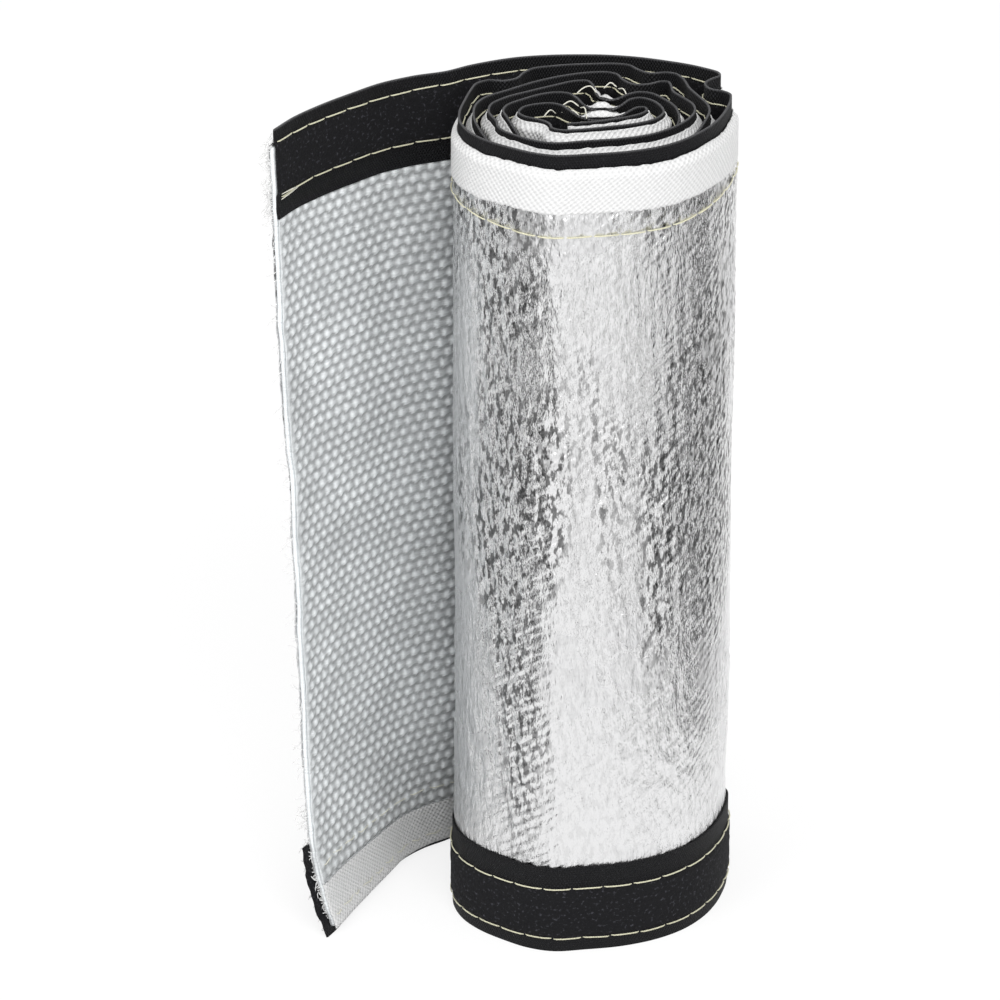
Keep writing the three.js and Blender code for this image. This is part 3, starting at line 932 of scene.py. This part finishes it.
class SLEEVE_OT_stitches(bpy.types.Operator):
    """Sew the five rows of stitches that show on the strip's two faces"""

    bl_idname = "sleeve.stitches"
    bl_label = "Sewn rows"

    def execute(self, context):
        strip = Strip()
        values = settings()
        radius = values.thread_thickness / MM / 2
        ground = values.tape_ground / MM
        rows = [
            ("thread_loop_upper", INNER_TRIM - ground - 0.15, -1, UPPER_ROWS[1], 0.25),
            ("thread_loop_lower", INNER_TRIM - ground - 0.15, -1, UPPER_ROWS[0], 0.25),
            ("thread_foil", FOIL_OUTER + 0.12, 1, UPPER_ROWS[0], 0.35),
            ("thread_hook_upper", OUTER_TRIM + ground + 0.15, 1, LOWER_ROWS[1], 0.25),
            ("thread_hook_lower", OUTER_TRIM + ground + 0.15, 1, LOWER_ROWS[0], 0.25),
        ]
        shares = np.array([0, 0.08, 0.3, 0.6, 0.84, 0.93])
        lift = np.array([-0.25, 0.9, 1.2, 1.2, 0.9, -0.25]) * radius
        end_margin = 7
        front_dip = 2.8
        material = thread_material()
        chance = np.random.default_rng(71)
        front = strip.nearest((2, -31))
        for name, face, side, height, wander in rows:
            data = thread_curve(name + "_stitches", values.thread_thickness * 0.8)
            start = chance.uniform(0.2, 2.0)
            while start < strip.length - end_margin:
                length = (values.stitch_length / MM) * chance.uniform(0.86, 1.12)
                along = start + length * shares
                drift = chance.uniform(-0.12, 0.12, 2)
                wave = wander * soft_noise(along / 17, along * 0 + height, 72)
                level = height + wave + drift[0] * (1 - shares) + drift[1] * shares
                if name == "thread_foil":
                    level = level - front_dip * (1 - ease(np.abs(along - front), 8, 48))
                add_thread(data, strip.place(along, level, face + side * lift))
                start += length
            piece = link(name + "_stitches", data)
            finish_piece(piece, material, name)
        return {"FINISHED"}


def plan_point(x, y, height):
    """A point from its place in the roll's own plan, in millimetres."""
    return Vector(((x + ROLL_AXIS[0]) * MM, (y + ROLL_AXIS[1]) * MM, height * MM))


def smooth_path(points, steps=6):
    return curve_points([tuple(point) for point in points], steps)


class SLEEVE_OT_loose_threads(bpy.types.Operator):
    """Lay the loose thread ends in the roll's top and the frayed fibres of the free end"""

    bl_idname = "sleeve.loose_threads"
    bl_label = "Loose threads"

    def execute(self, context):
        strip = Strip()
        data = thread_curve("loose_threads", 0.00028)
        tails = [
            [(1.8, 11, 181.5), (3.2, 11.4, 182.6), (4.5, 11, 181.8)],
            [(4.8, 10.5, 181.6), (5.9, 8, 182.4), (7, 4.4, 181)],
            [(-7, -0.9, 182.2), (-5.3, -0.6, 183), (-3.6, -0.9, 182)],
            [(-3.3, -1.8, 182), (-2.4, -3.6, 182.6), (-2, -5.6, 181)],
            [(-4, 6, 182.2), (-2.4, 7.4, 183), (-1, 8.2, 183), (0.2, 7, 182)],
            [(-5.6, -10, 180), (-6.8, -13, 181), (-7.5, -17, 179)],
            [(-5.6, -10, 180), (-5.0, -13, 181.2), (-5, -16, 179)],
            [(-11, -4.6, 181), (-9.5, -3.2, 182), (-8.4, -2.6, 181)],
            [(-7.2, -3, 181.4), (-5, -3.4, 182), (-3.2, -5, 181)],
        ]
        for tail in tails:
            add_thread(data, smooth_path([plan_point(*point) for point in tail]), 0.5)
        chance = np.random.default_rng(80)
        for height in (15.0, 4.0):
            start = 1.5
            while start < 70:
                length = chance.uniform(2.5, 5.5)
                along = start + length * np.array([0, 0.25, 0.6, 1])
                level = height + chance.uniform(-0.3, 0.3, 4)
                out = np.array([-0.75, -1.12, -1.12, -0.75])
                add_thread(data, strip.place(along, level, out), 0.6)
                start += length + chance.uniform(0.6, 1.6)
        for rise, out in ((0.5, -1.75), (-0.3, -1.6)):
            along = np.array([0.4, 2.4, 4.8, 7.2])
            level = 168 + rise * np.array([1.5, 1.2, 0.9, 0.2])
            add_thread(data, strip.place(along, level, out + 0 * along), 0.7)
        threads = link("loose_threads", data)
        threads.data.materials.append(thread_material("loose_thread", 0.45))
        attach(threads, "root")

        fibre_count = 300
        frays = thread_curve("frayed_fibres", 0.00019)
        chance = np.random.default_rng(81)
        for _ in range(fibre_count):
            height = chance.choice([chance.uniform(3, 178), chance.uniform(163, 182),
                                    chance.uniform(2, 30)])
            reach = chance.uniform(0.6, 3.2)
            rise = chance.uniform(-3.5, 2.0)
            root = strip.place(np.array([0.6]), np.array([height]), np.array([0.1]))[0] / MM
            tip = root + np.array([-reach, chance.uniform(-1.2, 0.6), rise])
            bend = (root + tip) / 2 + chance.uniform(-0.5, 0.5, 3)
            bend[0] -= 0.3
            tip[2] = max(tip[2], 0.3)
            path = smooth_path([np.array(point) * MM for point in (root, bend, tip)], 4)
            add_thread(frays, path, 0.6)
        fibres = link("frayed_fibres", frays)
        fibres.data.materials.append(thread_material("frayed_fibre", 0.95))
        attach(fibres, "root")
        return {"FINISHED"}


# Stage

def area_light(name, place, target, size, power):
    data = bpy.data.lights.new(name, "AREA")
    data.shape = "RECTANGLE"
    data.size, data.size_y = size
    data.energy = power
    lamp = link(name, data)
    lamp.location = place
    lamp.rotation_euler = (Vector(target) - Vector(place)).to_track_quat("-Z", "Y").to_euler()


def seen_share(tree):
    """1 for rays that show the floor and the world themselves, and 0 for rays that they light."""
    path = tree.nodes.new("ShaderNodeLightPath").outputs
    mirrored = maths(tree, "MAXIMUM", path["Is Glossy Ray"], path["Is Transmission Ray"])
    return maths(tree, "MAXIMUM", path["Is Camera Ray"], mirrored)


def floor_material():
    material = bpy.data.materials.new("studio_floor")
    material.use_nodes = True
    tree = material.node_tree
    tree.nodes.clear()
    output = tree.nodes.new("ShaderNodeOutputMaterial")
    colour = (*settings().floor_colour, 1)
    place = node(tree, "ShaderNodeTexCoord").outputs["Object"]
    grain = noise_value(tree, place, 300.0)
    matt = node(tree, "ShaderNodeBsdfDiffuse",
                {"Color": colour, "Roughness": remap(tree, grain, 0.0, 1.0, 0.7, 0.8)})
    glow = node(tree, "ShaderNodeEmission", {"Color": (1, 1, 1, 1), "Strength": 1.0})
    share = maths(tree, "MULTIPLY", seen_share(tree), 0.8)
    mixed = node(tree, "ShaderNodeMixShader", {0: share, 1: matt.outputs[0], 2: glow.outputs[0]})
    tree.links.new(mixed.outputs[0], output.inputs["Surface"])
    return material


def card_material():
    material = bpy.data.materials.new("dark_card")
    material.use_nodes = True
    shader = material.node_tree.nodes["Principled BSDF"]
    shader.inputs["Base Color"].default_value = (0.02, 0.02, 0.02, 1)
    shader.inputs["Roughness"].default_value = 0.9
    return material


def dark_card(name, bearing, away, width, material):
    """An upright card that faces the roll and shows in the foil only."""
    angle = math.radians(bearing)
    centre = Vector((ROLL_AXIS[0] * MM, ROLL_AXIS[1] * MM, CARD_MIDDLE_HEIGHT))
    place = centre + Vector((math.sin(angle), -math.cos(angle), 0)) * away
    turn = (centre - place).to_track_quat("Z", "Y").to_matrix().to_4x4()
    mesh = grid_mesh(name, 1, 1, 0.5)
    mesh.transform(Matrix.Translation(place) @ turn @ Matrix.Diagonal((width, CARD_HEIGHT, 1, 1)))
    mesh.materials.append(material)
    card = link(name, mesh)
    card.visible_camera = False
    card.visible_diffuse = False
    card.visible_shadow = False
    return card


def add_world(scene):
    world = bpy.data.worlds.new("studio_world")
    scene.world = world
    world.use_nodes = True
    tree = world.node_tree
    tree.nodes.clear()
    strength = maths(tree, "MULTIPLY_ADD", seen_share(tree), 0.27, 0.73)
    shown = node(tree, "ShaderNodeBackground", {"Color": (1, 1, 1, 1), "Strength": strength})
    output = tree.nodes.new("ShaderNodeOutputWorld")
    tree.links.new(shown.outputs[0], output.inputs["Surface"])


def add_camera(scene):
    data = bpy.data.cameras.new("photo_camera")
    data.lens = CAMERA_LENS
    data.sensor_width = CAMERA_SENSOR
    camera = link("photo_camera", data)
    camera.location = CAMERA_PLACE
    sight = Vector(CAMERA_TARGET) - camera.location
    camera.rotation_euler = sight.to_track_quat("-Z", "Y").to_euler()
    scene.camera = camera


class SLEEVE_OT_stage(bpy.types.Operator):
    """Set up the pale floor, the soft lights, the dark cards and the camera"""

    bl_idname = "sleeve.stage"
    bl_label = "Studio"

    def execute(self, context):
        mesh = grid_mesh("studio_floor", 4, 4, FLOOR_HALF_WIDTH)
        floor = link("studio_floor", mesh)
        mesh.materials.append(floor_material())
        dark = card_material()
        cards = [dark_card(*card, dark) for card in CARDS]

        area_light("key_light", (0.30, -1.15, 1.0), (-0.01, 0, 0.09), (0.9, 0.9), 9)
        area_light("fill_light", (-0.9, -0.9, 0.8), (0, 0, 0.09), (0.7, 0.9), 4.5)
        area_light("top_light", (0.05, 0.15, 1.3), (0, 0, 0.1), (0.9, 0.9), 3)
        add_world(context.scene)
        add_camera(context.scene)
        context.scene.view_settings.view_transform = "Standard"
        return {"FINISHED"}


class SLEEVE_PT_panel(bpy.types.Panel):
    """The steps that build the heat sleeve"""

    bl_label = "Heat Sleeve"
    bl_idname = "SLEEVE_PT_panel"
    bl_space_type = "VIEW_3D"
    bl_region_type = "UI"
    bl_category = "Heat Sleeve"

    def draw(self, context):
        values = context.scene.heat_sleeve
        for name in ("strip_width", "stitch_length", "cloth_colour", "foil_colour", "tape_colour"):
            self.layout.prop(values, name)
        for piece in PIECES:
            self.layout.operator(piece.bl_idname)


PIECES = [
    SLEEVE_OT_cloth, SLEEVE_OT_foil, SLEEVE_OT_tapes, SLEEVE_OT_ribbons, SLEEVE_OT_stitches,
    SLEEVE_OT_loose_threads, SLEEVE_OT_stage,
]
CLASSES = [SleeveSettings, *PIECES, SLEEVE_PT_panel]


def register():
    for item in CLASSES:
        bpy.utils.register_class(item)
    bpy.types.Scene.heat_sleeve = bpy.props.PointerProperty(type=SleeveSettings)


def unregister():
    del bpy.types.Scene.heat_sleeve
    for item in reversed(CLASSES):
        bpy.utils.unregister_class(item)


def main():
    register()
    bpy.ops.sleeve.cloth()
    bpy.ops.sleeve.foil()
    bpy.ops.sleeve.tapes()
    bpy.ops.sleeve.ribbons()
    bpy.ops.sleeve.stitches()
    bpy.ops.sleeve.loose_threads()
    bpy.ops.sleeve.stage()


if __name__ == "__main__":
    main()
